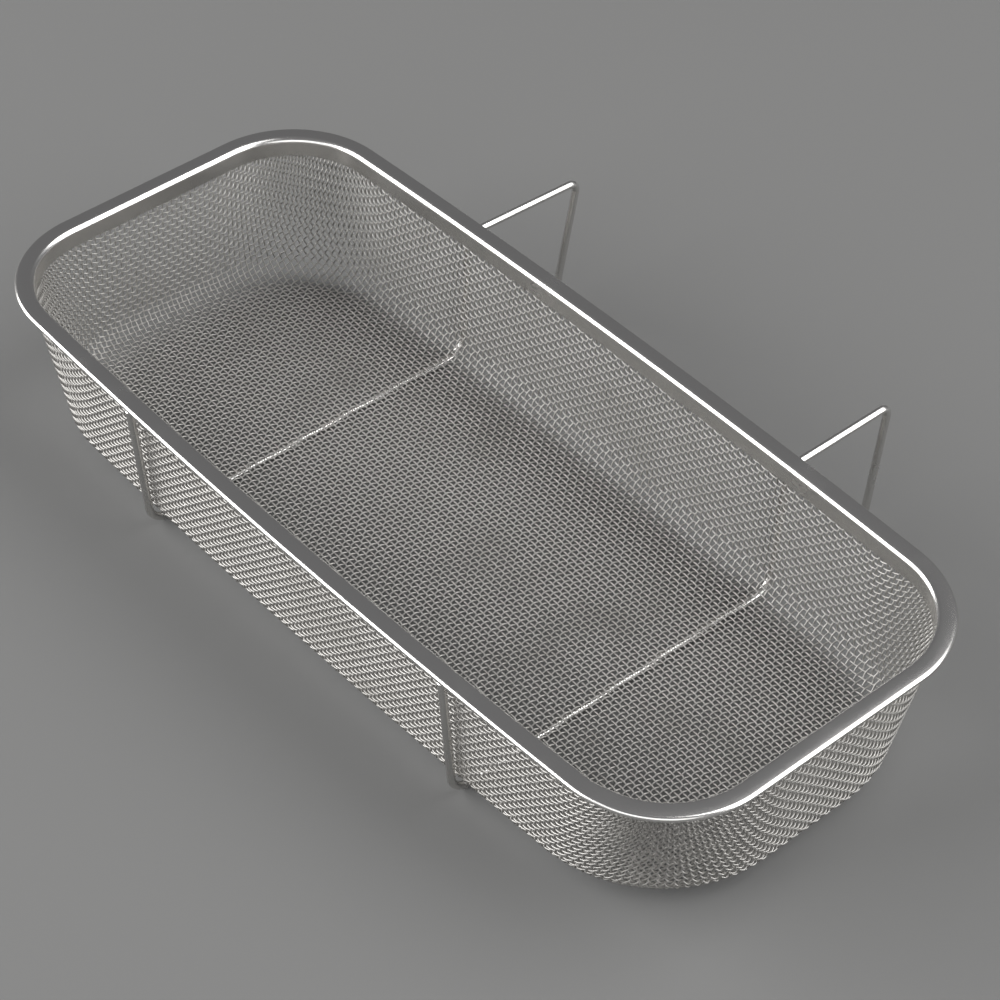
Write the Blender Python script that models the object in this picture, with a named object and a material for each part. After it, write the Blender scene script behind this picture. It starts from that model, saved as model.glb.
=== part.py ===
"""Hanging sink strainer basket.

A drawn basket of woven stainless cloth, a folded stainless rim that grips the cloth's flange,
and two bent hook wires that pass under the floor and reach out over the edge of a sink.

+X runs along the basket, +Y points to the hooks, +Z is up.  The pieces are worked out from the
middle of the rim's top face, and an empty then sets the whole part down with the origin at the
middle of the bottom of its box.
"""

import math

import bmesh
import bpy
import numpy as np
from mathutils import Vector

MM = 0.001

# Rim outline, measured at its outermost edge
RIM_LENGTH = 300.0 * MM
RIM_WIDTH = 133.8 * MM
RIM_CORNER_RADIUS = 34.0 * MM
RIM_SIDE_RADIUS = 2800.0 * MM

# Rim strip: inner skirt, flat top and a hem that folds back under the outer edge
STRIP_THICKNESS = 0.5 * MM
RIM_TOP_WIDTH = 6.1 * MM
SKIRT_HEIGHT = 6.5 * MM
SKIRT_BEND_RADIUS = 1.6 * MM
HEM_SLOT = 1.1 * MM
HEM_RETURN_WIDTH = 3.9 * MM

# Cloth, coarsened to a lattice that follows the drawn form
CLOTH_THICKNESS = 0.5 * MM
BASKET_DEPTH = 47.8 * MM
FLANGE_EDGE_INSET = 1.2 * MM
FLANGE_BEND_RADIUS = 0.8 * MM
FLOOR_FILLET_RADIUS = 7.5 * MM
FLOOR_CORNER_RADIUS = 35.0 * MM
WALL_DRAFT = math.radians(3.0)
RIB_WIDTH = 1.2 * MM

# Hook wires: one pattern, whose hooks are bent a little differently
WIRE_DIAMETER = 2.5 * MM
WIRE_SPACING = 137.4 * MM
LEFT_HOOK_REACH = 41.4 * MM
RIGHT_HOOK_REACH = 37.6 * MM
LEFT_BAR_SLOPE = math.radians(2.4)
RIGHT_BAR_SLOPE = math.radians(0.0)
LEFT_LEG_LEAN = math.radians(10.7)
RIGHT_LEG_LEAN = math.radians(6.2)
WIRE_BEND_RADIUS = 7.0 * MM
HOOK_BEND_RADIUS = 3.0 * MM
HOOK_LEG_LENGTH = 41.0 * MM
NEAR_LEG_OUTSET = 1.5 * MM
TIP_CHAMFER = 0.4 * MM

# Gap that neighbours keep
CLEARANCE = 0.3 * MM

# How finely the forms are divided; the corners' count is even, so that one line is at 45 degrees
CORNER_COLUMNS = 6
SIDE_COLUMNS = 12
END_COLUMNS = 3
FILLET_ROWS = 2
WALL_ROWS = 3
SKIRT_BEND_STEPS = 3
HEM_STEPS = 6
WIRE_SIDES = 12
WIRE_BEND_STEPS = 8
SHARP_EDGE_ANGLE = math.radians(40)

# Sizes that follow from the ones above
HEM_RADIUS = STRIP_THICKNESS + HEM_SLOT / 2
HEM_HEIGHT = 2 * HEM_RADIUS
WALL_INSET = RIM_TOP_WIDTH - STRIP_THICKNESS - CLEARANCE - CLOTH_THICKNESS / 2
COLLAR_DEPTH = SKIRT_HEIGHT + CLEARANCE
WIRE_RADIUS = WIRE_DIAMETER / 2


def make_material(name, colour, roughness):
    """Stainless steel with its own tone and polish."""
    material = bpy.data.materials.new(name)
    material.use_nodes = True
    shader = material.node_tree.nodes["Principled BSDF"]
    shader.inputs["Base Color"].default_value = (*colour, 1.0)
    shader.inputs["Roughness"].default_value = roughness
    shader.inputs["Metallic"].default_value = 1.0
    return material


def add_object(name, vertices, faces, material, parent):
    """Object with outward faces, smooth except where its faces meet at a real edge."""
    mesh = bpy.data.meshes.new(name)
    mesh.from_pydata(vertices, [], faces)
    work = bmesh.new()
    work.from_mesh(mesh)
    bmesh.ops.recalc_face_normals(work, faces=work.faces)
    work.to_mesh(mesh)
    work.free()
    mesh.materials.append(material)
    mesh.shade_smooth()
    mesh.set_sharp_from_angle(angle=SHARP_EDGE_ANGLE)
    body = bpy.data.objects.new(name, mesh)
    bpy.context.collection.objects.link(body)
    body.parent = parent
    return body


def arc(centre, radius, start, end, steps):
    """Points of an arc between two angles in degrees, both ends included."""
    angles = np.radians(np.linspace(start, end, steps + 1))
    return [(centre[0] + radius * math.cos(a), centre[1] + radius * math.sin(a)) for a in angles]


def outline(inset, corner_radius):
    """Lines round the basket: a point and a tangent for each, counterclockwise in plan.

    The ends are straight, the corners are arcs, and the long sides are arcs of a very large
    radius that run into the corner arcs without a kink.  The first line is at the middle of the
    near left corner.
    """
    side_radius = RIM_SIDE_RADIUS - inset
    corner_x = RIM_LENGTH / 2 - inset - corner_radius
    side_centre = side_radius - (RIM_WIDTH / 2 - inset)
    span = side_radius - corner_radius
    corner_y = math.sqrt(span**2 - corner_x**2) - side_centre
    side_angle = math.asin(corner_x / span)
    corner_turn = math.pi / 2 - side_angle
    half = []
    for k in range(END_COLUMNS + 1):
        share = 2 * k / END_COLUMNS - 1
        half.append((corner_x + corner_radius, corner_y * share, 0.0))
    for k in range(1, CORNER_COLUMNS):
        turn = corner_turn * k / CORNER_COLUMNS
        x = corner_x + corner_radius * math.cos(turn)
        y = corner_y + corner_radius * math.sin(turn)
        half.append((x, y, turn))
    for k in range(SIDE_COLUMNS + 1):
        turn = side_angle * (1 - 2 * k / SIDE_COLUMNS)
        x = side_radius * math.sin(turn)
        y = side_radius * math.cos(turn) - side_centre
        half.append((x, y, math.pi / 2 - turn))
    for k in range(1, CORNER_COLUMNS):
        turn = corner_turn * (1 - k / CORNER_COLUMNS)
        x = -corner_x - corner_radius * math.cos(turn)
        y = corner_y + corner_radius * math.sin(turn)
        half.append((x, y, math.pi - turn))
    whole = half + [(-x, -y, turn + math.pi) for x, y, turn in half]
    first = len(half) + END_COLUMNS + CORNER_COLUMNS // 2
    whole = whole[first:] + whole[:first]
    return [((x, y), (-math.sin(turn), math.cos(turn))) for x, y, turn in whole]


def side_at(inset, x):
    """Distance from the middle line to a long side, at a place along the basket."""
    side_radius = RIM_SIDE_RADIUS - inset
    return math.sqrt(side_radius**2 - x**2) - side_radius + RIM_WIDTH / 2 - inset


def rim_section():
    """Closed section of the folded strip, as (inset, height) points.

    The outer skin runs from the skirt's lower edge over the top and round the hem, and the inner
    skin comes back one strip thickness inside it.
    """
    bend_centre = (RIM_TOP_WIDTH - SKIRT_BEND_RADIUS, -SKIRT_BEND_RADIUS)
    hem_centre = (HEM_RADIUS, -HEM_RADIUS)
    outer = [(RIM_TOP_WIDTH, -SKIRT_HEIGHT)]
    outer += arc(bend_centre, SKIRT_BEND_RADIUS, 0, 90, SKIRT_BEND_STEPS)
    outer += arc(hem_centre, HEM_RADIUS, 90, 270, HEM_STEPS)
    outer += [(HEM_RETURN_WIDTH, -HEM_HEIGHT)]
    inner = [(HEM_RETURN_WIDTH, STRIP_THICKNESS - HEM_HEIGHT)]
    inner += arc(hem_centre, HEM_RADIUS - STRIP_THICKNESS, 270, 90, HEM_STEPS)
    inner += arc(bend_centre, SKIRT_BEND_RADIUS - STRIP_THICKNESS, 90, 0, SKIRT_BEND_STEPS)
    inner += [(RIM_TOP_WIDTH - STRIP_THICKNESS, -SKIRT_HEIGHT)]
    return outer + inner


def make_rim(parent):
    """One strip, folded to its section and led round the outline."""
    rings = []
    for inset, height in rim_section():
        lines = outline(inset, RIM_CORNER_RADIUS - inset)
        rings.append([(x, y, height) for (x, y), _ in lines])
    columns = len(rings[0])
    vertices = [vertex for ring in rings for vertex in ring]
    faces = []
    for row in range(len(rings)):
        above = (row + 1) % len(rings)
        for column in range(columns):
            beside = (column + 1) % columns
            faces.append((
                row * columns + column,
                row * columns + beside,
                above * columns + beside,
                above * columns + column,
            ))
    steel = make_material("rim_steel", (0.56, 0.55, 0.53), 0.28)
    return add_object("rim_band", vertices, faces, steel, parent)


def cloth_profile():
    """Levels of the drawn cloth from the floor's edge up and out to the flange's edge.

    Each level is (inset, height, corner radius) of the cloth's middle surface, with the kind of
    stretch that leads up to it: a rib, which is closed all round, or open, where only the upright
    ribs pass.
    """
    floor = CLOTH_THICKNESS / 2 - BASKET_DEPTH
    drafted = BASKET_DEPTH - COLLAR_DEPTH
    turn = math.pi / 2 - WALL_DRAFT
    fillet_reach = FLOOR_FILLET_RADIUS * math.sin(turn)
    fillet_rise = FLOOR_FILLET_RADIUS * (1 - math.cos(turn))
    foot_inset = WALL_INSET + (drafted - fillet_rise) * math.tan(WALL_DRAFT)
    floor_inset = foot_inset + fillet_reach
    fillet_length = FLOOR_FILLET_RADIUS * turn
    slant = (drafted - fillet_rise) / math.cos(WALL_DRAFT)
    collar = COLLAR_DEPTH - HEM_HEIGHT - CLEARANCE
    top_radius = RIM_CORNER_RADIUS - WALL_INSET

    def place(length):
        """Level at a length along the section, counted from the floor's edge."""
        if length <= 0:
            return floor_inset - length, floor, FLOOR_CORNER_RADIUS + length
        if length <= fillet_length:
            angle = length / FLOOR_FILLET_RADIUS
            reach = FLOOR_FILLET_RADIUS * math.sin(angle)
            height = floor + FLOOR_FILLET_RADIUS * (1 - math.cos(angle))
            return floor_inset - reach, height, FLOOR_CORNER_RADIUS + reach
        along = min((length - fillet_length) / slant, 1.0)
        inset = foot_inset + (WALL_INSET - foot_inset) * along
        height = floor + fillet_rise + (drafted - fillet_rise) * along
        foot_radius = FLOOR_CORNER_RADIUS + fillet_reach
        radius = foot_radius + (top_radius - foot_radius) * along
        return inset, height + max(length - fillet_length - slant, 0.0), radius

    half_rib = RIB_WIDTH / 2
    wall_length = slant + collar
    ribs = [fillet_length * k / FILLET_ROWS for k in range(FILLET_ROWS)]
    ribs += [fillet_length + wall_length * k / WALL_ROWS for k in range(WALL_ROWS)]
    levels = []
    for length in ribs:
        levels.append((*place(length - half_rib), "open"))
        levels.append((*place(length + half_rib), "rib"))
    levels.append((*place(fillet_length + slant), "open"))
    levels.append((*place(fillet_length + wall_length - RIB_WIDTH), "open"))

    bend_inset = WALL_INSET - FLANGE_BEND_RADIUS
    flange_height = -HEM_RADIUS
    for inset, height in (
        (WALL_INSET, flange_height - FLANGE_BEND_RADIUS),
        (bend_inset, flange_height),
        (FLANGE_EDGE_INSET, flange_height),
    ):
        levels.append((inset, height, RIM_CORNER_RADIUS - inset, "rib"))
    return levels


def make_cloth(parent):
    """Lattice of ribs on the drawn form, thickened to both sides of its middle surface.

    Every grid line is two ribbons' edges, half a rib to either side.  Upright ribs climb the
    wall, level ribs ring it, and both families go on across the floor.
    """
    vertices = []
    faces = []
    half_rib = RIB_WIDTH / 2

    rings = []
    levels = cloth_profile()
    for inset, height, radius, _ in levels:
        ring = []
        for (x, y), (run_x, run_y) in outline(inset, radius):
            for side in (-half_rib, half_rib):
                ring.append(len(vertices))
                vertices.append((x + run_x * side, y + run_y * side, height))
        rings.append(ring)

    count = len(rings[0])
    for row in range(1, len(rings)):
        below, above = rings[row - 1], rings[row]
        closed = levels[row][3] == "rib"
        for column in range(count):
            if closed or column % 2 == 0:
                beside = (column + 1) % count
                faces.append((below[column], below[beside], above[beside], above[column]))

    # Floor grid: row 0 and the last row are the ring's near and far sides, and its first and
    # last columns are the ring's ends.  A corner line's two edges go one to each side.
    long_lines = SIDE_COLUMNS + CORNER_COLUMNS
    end_lines = END_COLUMNS + CORNER_COLUMNS
    floor_ring = rings[0]
    height = vertices[floor_ring[0]][2]

    def ring_edge(line, edge):
        return floor_ring[(2 * line + edge) % count]

    near = [ring_edge(k, e) for k in range(1, long_lines) for e in (0, 1)]
    right = [ring_edge(long_lines + k, e) for k in range(1, end_lines) for e in (0, 1)]
    far_start = long_lines + end_lines
    far = [ring_edge(far_start + k, e) for k in range(1, long_lines) for e in (0, 1)][::-1]
    left_start = far_start + long_lines
    left = [ring_edge(left_start + k, e) for k in range(1, end_lines) for e in (0, 1)][::-1]

    grid = [near]
    for start, stop in zip(left, right):
        row = []
        for foot in near:
            row.append(len(vertices))
            vertices.append((vertices[foot][0], vertices[stop][1], height))
        grid.append(row)
    grid.append(far)

    for row in range(len(grid) - 1):
        for column in range(len(near) - 1):
            if row % 2 == 1 or column % 2 == 0:
                lower, upper = grid[row], grid[row + 1]
                faces.append((lower[column], lower[column + 1], upper[column + 1], upper[column]))
    for row in range(1, len(grid) - 2, 2):
        lower, upper = grid[row], grid[row + 1]
        faces.append((left[row - 1], lower[0], upper[0], left[row]))
        faces.append((lower[-1], right[row - 1], right[row], upper[-1]))

    steel = make_material("cloth_steel", (0.50, 0.49, 0.47), 0.38)
    cloth = add_object("mesh_basket", vertices, faces, steel, parent)
    thicken = cloth.modifiers.new("cloth thickness", "SOLIDIFY")
    thicken.thickness = CLOTH_THICKNESS
    thicken.offset = 0.0
    thicken.use_even_offset = True
    return cloth


def round_corners(corners, radii):
    """Centre line with an arc of the given radius at each inner corner."""
    path = [corners[0]]
    for before, corner, after, radius in zip(corners, corners[1:], corners[2:], radii):
        towards = (before - corner).normalized()
        away = (after - corner).normalized()
        opening = towards.angle(away)
        set_back = radius / math.tan(opening / 2)
        centre = corner + (towards + away).normalized() * (radius / math.sin(opening / 2))
        first = corner + towards * set_back - centre
        last = corner + away * set_back - centre
        sweep = math.pi - opening
        for k in range(WIRE_BEND_STEPS + 1):
            share = k / WIRE_BEND_STEPS
            first_part = math.sin(sweep * (1 - share)) / math.sin(sweep)
            last_part = math.sin(sweep * share) / math.sin(sweep)
            path.append(centre + first * first_part + last * last_part)
    path.append(corners[-1])
    return path


def tangent_at(points, index):
    """Direction of a polyline at a point: the mean of the runs on both sides of it."""
    runs = []
    if index > 0:
        runs.append((points[index] - points[index - 1]).normalized())
    if index < len(points) - 1:
        runs.append((points[index + 1] - points[index]).normalized())
    return sum(runs, Vector((0.0, 0.0, 0.0))).normalized()


def make_wire(name, wire_x, reach, bar_slope, leg_lean, steel, parent):
    """One rod: up under the near rim, along the floor's underside, up the far wall, out and down.

    The near leg's top stands a little out under the hem, and the leg leans in to the wall's foot.
    The rod's section is a regular polygon with flats below, above and to the sides.
    """
    lean = math.tan(WALL_DRAFT)
    off_wall = CLOTH_THICKNESS / 2 + CLEARANCE + WIRE_RADIUS
    collar_y = side_at(WALL_INSET, wire_x) + off_wall
    floor_z = -BASKET_DEPTH - CLEARANCE - WIRE_RADIUS
    foot_y = collar_y + (COLLAR_DEPTH + floor_z) * lean
    top_z = -HEM_HEIGHT - CLEARANCE
    bar_z = top_z - WIRE_RADIUS
    hook_y = side_at(0.0, wire_x) + reach
    bar_y = collar_y + (COLLAR_DEPTH + bar_z) * lean
    hook_z = bar_z - (hook_y - bar_y) * math.tan(bar_slope)
    near_y = collar_y + (COLLAR_DEPTH + top_z) * lean + NEAR_LEG_OUTSET
    corners = [
        Vector((wire_x, -near_y, top_z)),
        Vector((wire_x, -foot_y, floor_z)),
        Vector((wire_x, foot_y, floor_z)),
        Vector((wire_x, bar_y, bar_z)),
        Vector((wire_x, hook_y, hook_z)),
        Vector((
            wire_x,
            hook_y - HOOK_LEG_LENGTH * math.sin(leg_lean),
            hook_z - HOOK_LEG_LENGTH * math.cos(leg_lean),
        )),
    ]
    radii = (WIRE_BEND_RADIUS, WIRE_BEND_RADIUS, HOOK_BEND_RADIUS, HOOK_BEND_RADIUS)
    path = round_corners(corners, radii)

    # Ring sizes: the flats stand one wire radius from the centre line, and the tip is chamfered
    across = WIRE_RADIUS / math.cos(math.pi / WIRE_SIDES)
    stations = [(point, across) for point in path]
    tip = path[-1]
    tip_run = (path[-1] - path[-2]).normalized()
    stations[-1] = (tip - tip_run * TIP_CHAMFER, across)
    stations.append((tip, across - TIP_CHAMFER))

    sideways = Vector((1.0, 0.0, 0.0))
    centres = [point for point, _ in stations]
    vertices = []
    for k, (point, size) in enumerate(stations):
        upward = tangent_at(centres, k).cross(sideways)
        for side in range(WIRE_SIDES):
            turn = 2 * math.pi * (side + 0.5) / WIRE_SIDES
            spoke = sideways * math.cos(turn) + upward * math.sin(turn)
            vertices.append(point + spoke * size)

    faces = [tuple(range(WIRE_SIDES))]
    for ring in range(len(stations) - 1):
        for side in range(WIRE_SIDES):
            beside = (side + 1) % WIRE_SIDES
            base, ahead = ring * WIRE_SIDES, (ring + 1) * WIRE_SIDES
            faces.append((base + side, base + beside, ahead + beside, ahead + side))
    last = (len(stations) - 1) * WIRE_SIDES
    faces.append(tuple(range(last, last + WIRE_SIDES)))
    return add_object(name, vertices, faces, steel, parent)


def stand_on_floor(parent, bodies):
    """Move the part so that the origin is at the middle of the bottom of its box."""
    bpy.context.view_layer.update()
    corners = [body.matrix_world @ Vector(corner) for body in bodies for corner in body.bound_box]
    low = [min(corner[axis] for corner in corners) for axis in range(3)]
    high = [max(corner[axis] for corner in corners) for axis in range(3)]
    parent.location = (-(low[0] + high[0]) / 2, -(low[1] + high[1]) / 2, -low[2])


def main():
    for old in list(bpy.data.objects):
        bpy.data.objects.remove(old, do_unlink=True)
    basket = bpy.data.objects.new("basket", None)
    bpy.context.collection.objects.link(basket)
    wire_steel = make_material("wire_steel", (0.60, 0.59, 0.57), 0.22)
    left_hook = (LEFT_HOOK_REACH, LEFT_BAR_SLOPE, LEFT_LEG_LEAN)
    right_hook = (RIGHT_HOOK_REACH, RIGHT_BAR_SLOPE, RIGHT_LEG_LEAN)
    bodies = [
        make_rim(basket),
        make_cloth(basket),
        make_wire("hook_wire_left", -WIRE_SPACING / 2, *left_hook, wire_steel, basket),
        make_wire("hook_wire_right", WIRE_SPACING / 2, *right_hook, wire_steel, basket),
    ]
    stand_on_floor(basket, bodies)


main()
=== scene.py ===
# %% [markdown]
# # A hanging sink strainer basket
#
# The object is a tray of woven stainless wire cloth.  A folded steel strip grips its edge, and
# two bent rods run under its floor and reach out over the edge of a sink.
#
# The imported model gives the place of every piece.  This lesson replaces its plain solids by the
# real forms: a rim with its folds, round rods, and a cloth in which every wire goes over and under.

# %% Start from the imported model
import math

import bpy
import numpy as np
from mathutils import Matrix, Vector


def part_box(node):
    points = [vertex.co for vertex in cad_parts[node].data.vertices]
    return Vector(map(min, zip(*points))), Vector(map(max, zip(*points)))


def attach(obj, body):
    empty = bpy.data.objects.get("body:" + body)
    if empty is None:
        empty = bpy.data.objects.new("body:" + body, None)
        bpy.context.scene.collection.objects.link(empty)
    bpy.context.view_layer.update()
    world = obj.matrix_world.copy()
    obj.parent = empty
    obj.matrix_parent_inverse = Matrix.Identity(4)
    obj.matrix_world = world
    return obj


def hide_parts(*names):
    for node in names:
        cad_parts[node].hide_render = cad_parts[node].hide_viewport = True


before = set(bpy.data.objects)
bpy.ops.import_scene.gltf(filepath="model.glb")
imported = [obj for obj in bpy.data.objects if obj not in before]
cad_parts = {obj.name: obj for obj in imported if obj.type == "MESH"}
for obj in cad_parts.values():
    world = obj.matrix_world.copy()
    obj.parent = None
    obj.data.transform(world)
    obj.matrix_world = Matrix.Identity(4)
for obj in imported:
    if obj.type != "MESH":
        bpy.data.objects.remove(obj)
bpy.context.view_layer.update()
MM = 0.001
print("nodes:", sorted(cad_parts))

# %% [markdown]
# ## Where the basket stands
#
# All shapes below are worked out from the middle of the rim's top face, because that is where
# the real basket's sizes are easiest to state.  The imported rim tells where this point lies.

# %% The rim's middle
rim_low, rim_high = (np.array(corner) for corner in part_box("rim_band"))
ORIGIN = np.array([*((rim_low + rim_high) / 2)[:2], rim_high[2]])
print("middle of the rim's top, mm:", (ORIGIN / MM).round(2))

# %% [markdown]
# ## The camera
#
# The photo was taken from above the near right side with a long lens.  A camera is three unit
# vectors (right, up and the way it looks) and a place.  Here they come from an azimuth, an
# elevation and a small roll, and the place is set back from the rim's middle along the view.

# %% Camera
AZIMUTH = math.radians(48.193)
ELEVATION = math.radians(43.740)
ROLL = math.radians(1.084)
CAMERA_DISTANCE = 811.919 * MM
CAMERA_RIGHT = 11.581 * MM
CAMERA_UP = -19.743 * MM
LENS_MM = 103.741
SENSOR_MM = 36.0
NEAREST_SEEN = 10.0 * MM


def make_camera():
    """Place = middle - distance * view + right * shift + up * shift; right and up are rolled."""
    view = Vector((
        -math.sin(AZIMUTH) * math.cos(ELEVATION),
        math.cos(AZIMUTH) * math.cos(ELEVATION),
        -math.sin(ELEVATION),
    ))
    level = Vector((math.cos(AZIMUTH), math.sin(AZIMUTH), 0.0))
    upright = level.cross(view)
    right = level * math.cos(ROLL) + upright * math.sin(ROLL)
    up = upright * math.cos(ROLL) - level * math.sin(ROLL)
    place = Vector(ORIGIN) - view * CAMERA_DISTANCE + right * CAMERA_RIGHT + up * CAMERA_UP
    data = bpy.data.cameras.new("camera")
    data.lens = LENS_MM
    data.sensor_width = SENSOR_MM
    data.clip_start = NEAREST_SEEN
    camera = bpy.data.objects.new("camera", data)
    bpy.context.collection.objects.link(camera)
    turn = Matrix((right, up, -view)).transposed().to_4x4()
    camera.matrix_world = Matrix.Translation(place) @ turn
    bpy.context.scene.camera = camera
    return camera


camera = make_camera()
print("camera at, m:", [round(c, 3) for c in camera.matrix_world.translation])

# %% [markdown]
# ## Floor and light
#
# Steel shows what is around it more than its own colour, so the lights are placed by what each
# piece mirrors.  The flat top of the rim is dark, because it mirrors the dim far side of the room.
# Everything that runs along the basket, such as the rim's long bends, mirrors the left side, where
# the brightest soft light stands.  Everything that runs across it, such as the rods and the end
# bends, mirrors the right side behind the basket, where a long light leans over it.  A third, in
# front on the right, lights the near corner.  The floor is a plain grey paint.

# %% Floor
FLOOR_SIZE = 8.0
FLOOR_COLOUR = (0.13, 0.13, 0.128, 1.0)
FLOOR_ROUGHNESS = 0.9


def make_floor():
    """One square in the plane that the rods stand on."""
    half = FLOOR_SIZE / 2
    mesh = bpy.data.meshes.new("floor")
    corners = [(-half, -half, 0), (half, -half, 0), (half, half, 0), (-half, half, 0)]
    mesh.from_pydata(corners, [], [(0, 1, 2, 3)])
    floor = bpy.data.objects.new("floor", mesh)
    bpy.context.collection.objects.link(floor)
    material = bpy.data.materials.new("floor_paint")
    material.use_nodes = True
    shader = material.node_tree.nodes["Principled BSDF"]
    shader.inputs["Base Color"].default_value = FLOOR_COLOUR
    shader.inputs["Roughness"].default_value = FLOOR_ROUGHNESS
    mesh.materials.append(material)
    return floor


floor = make_floor()
print("floor:", floor.name, FLOOR_SIZE, "m wide")

# %% Room
ROOM_COLOUR = (0.15, 0.15, 0.155, 1.0)


def make_room():
    """Even dim light from everywhere else."""
    world = bpy.data.worlds.new("room")
    world.use_nodes = True
    world.node_tree.nodes["Background"].inputs["Color"].default_value = ROOM_COLOUR
    bpy.context.scene.world = world
    bpy.context.scene.view_settings.view_transform = "Standard"
    return world


room = make_room()
print("world:", room.name)

# %% Lights
def make_softbox(name, place, long_side, width, height, brightness):
    """Flat lamp that faces the basket, its width laid along long_side.

    Power = brightness * pi * area, so brightness is what a mirror would show.
    """
    place = Vector(place)
    away = (place - Vector(ORIGIN)).normalized()
    across = away.cross(Vector(long_side)).normalized()
    turn = Matrix((across.cross(away), across, away)).transposed()
    data = bpy.data.lights.new(name, "AREA")
    data.shape = "RECTANGLE"
    data.size = width
    data.size_y = height
    data.energy = brightness * math.pi * width * height
    lamp = bpy.data.objects.new(name, data)
    bpy.context.collection.objects.link(lamp)
    lamp.matrix_world = Matrix.Translation(place) @ turn.to_4x4()
    lamp.visible_camera = False
    return lamp


left_light = make_softbox(
    "left_light",
    place=(-1.35, -1.55, 0.95),
    long_side=(1.0, -0.85, 0.0),
    width=2.6,
    height=1.8,
    brightness=7.0,
)
right_light = make_softbox(
    "right_light",
    place=(1.1, 0.86, 1.12),
    long_side=(1.0, 0.0, -1.0),
    width=3.1,
    height=1.3,
    brightness=4.6,
)
near_light = make_softbox(
    "near_light",
    place=(1.2, -1.6, 0.85),
    long_side=(1.0, 0.75, 0.0),
    width=3.0,
    height=1.5,
    brightness=1.6,
)
print("lights, W:", [round(light.data.energy) for light in (left_light, right_light, near_light)])

# %% [markdown]
# ## Sizes of the real pieces
#
# Each size is written once.  An inset is a distance inwards from the rim's outermost edge, and a
# height is counted from the rim's top face.

# %% Sizes
RIM_LENGTH = 300.0 * MM
RIM_WIDTH = 133.8 * MM
RIM_CORNER_RADIUS = 34.0 * MM
RIM_SIDE_RADIUS = 2800.0 * MM
SIDE_CENTRE = RIM_SIDE_RADIUS - RIM_WIDTH / 2

STRIP_THICKNESS = 0.5 * MM
RIM_TOP_WIDTH = 6.1 * MM
SKIRT_HEIGHT = 6.5 * MM
SKIRT_BEND_RADIUS = 1.6 * MM
HEM_HEIGHT = 2.1 * MM
HEM_RETURN_WIDTH = 3.9 * MM
CROWN_WIDTH = 2.5 * MM
CROWN_DROP = 0.15 * MM

CLOTH_PITCH = 1.79 * MM
CLOTH_WIRE_DIAMETER = 0.52 * MM
LONG_CRIMP_HEIGHT = 0.15 * MM
CROSS_CRIMP_HEIGHT = 0.32 * MM
CLOTH_TURN = math.radians(-5.5)
FLOOR_DEPTH = 47.55 * MM
WALL_INSET = 5.05 * MM
FLOOR_FILLET_RADIUS = 7.5 * MM
FLOOR_CORNER_RADIUS = 35.0 * MM
WALL_DRAFT = math.radians(3.0)
COLLAR_HEIGHT = -6.55 * MM
FLANGE_HEIGHT = -HEM_HEIGHT / 2
FLANGE_BEND_RADIUS = 0.8 * MM
FLANGE_EDGE_INSET = 1.4 * MM

ROD_DIAMETER = 2.46 * MM  # 2.5 mm rod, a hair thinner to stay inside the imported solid
print("rim, mm:", RIM_LENGTH / MM, "x", RIM_WIDTH / MM)

# %% [markdown]
# ## Putting arrays into a mesh
#
# Every new piece is a set of points worked out as whole arrays.  The first helper copies them
# into a mesh in one go, and lays a flat map over it: distance along the steel and distance across
# it, in metres.  The marks in the steel follow that map.  The other two number the faces of a
# tube and give each corner its place on the map.

# %% Mesh helper
def make_piece(name, points, faces, along_across):
    """Mesh object from points (n, 3), lists of equal-sided faces, and a map point per corner."""
    mesh = bpy.data.meshes.new(name)
    corners = np.concatenate([group.ravel() for group in faces]).astype(np.int32)
    sizes = np.concatenate([np.full(len(group), group.shape[1]) for group in faces])
    starts = (np.cumsum(sizes) - sizes).astype(np.int32)
    mesh.vertices.add(len(points))
    mesh.vertices.foreach_set("co", (points + ORIGIN).astype(np.float32).ravel())
    mesh.loops.add(len(corners))
    mesh.loops.foreach_set("vertex_index", corners)
    mesh.polygons.add(len(sizes))
    mesh.polygons.foreach_set("loop_start", starts)
    layer = mesh.uv_layers.new(name="steel_map")
    layer.data.foreach_set("uv", along_across.astype(np.float32).ravel())
    mesh.update(calc_edges=True)
    mesh.shade_smooth()
    piece = bpy.data.objects.new(name, mesh)
    bpy.context.collection.objects.link(piece)
    return piece


def grid_faces(rows, columns, ring):
    """Four-sided faces of a tube whose point (row, column) has the number row * columns + column.

    Its columns always close round.  Its rows close too if it is a ring.
    """
    row = np.arange(rows if ring else rows - 1)[:, None]
    column = np.arange(columns)[None, :]
    above = (row + 1) % rows
    beside = (column + 1) % columns
    faces = (
        row * columns + column,
        row * columns + beside,
        above * columns + beside,
        above * columns + column,
    )
    return np.stack(np.broadcast_arrays(*faces), axis=-1).reshape(-1, 4)


def grid_map(along, across, rows, columns):
    """Map corners for grid_faces: along has one value more than the rows, across likewise."""
    row, column = np.meshgrid(np.arange(rows), np.arange(columns), indexing="ij")
    corner_rows = np.stack([row, row, row + 1, row + 1], axis=-1)
    corner_columns = np.stack([column, column + 1, column + 1, column], axis=-1)
    return np.stack([along[corner_rows], across[corner_columns]], axis=-1).reshape(-1, 2)


print("faces of a small tube:", len(grid_faces(3, 4, ring=False)))

# %% [markdown]
# ## The rim's outline
#
# Seen from above, the rim has straight ends, round corners, and long sides that bow out by a
# couple of millimetres.  A polygon with bevels could do this, but a formula keeps the corners
# free of kinks: the side arcs and the corner arcs share a tangent where they meet.

# %% Outline
CORNER_STEPS = 28
SIDE_STEPS = 60
END_STEPS = 12


def arc_points(centre_x, centre_y, radius, turns):
    """Centre + radius * (cos, sin) of the turn; the turn is also the way the edge faces."""
    x = centre_x + radius * np.cos(turns)
    y = centre_y + radius * np.sin(turns)
    return np.stack([x, y, turns], axis=1)


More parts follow.
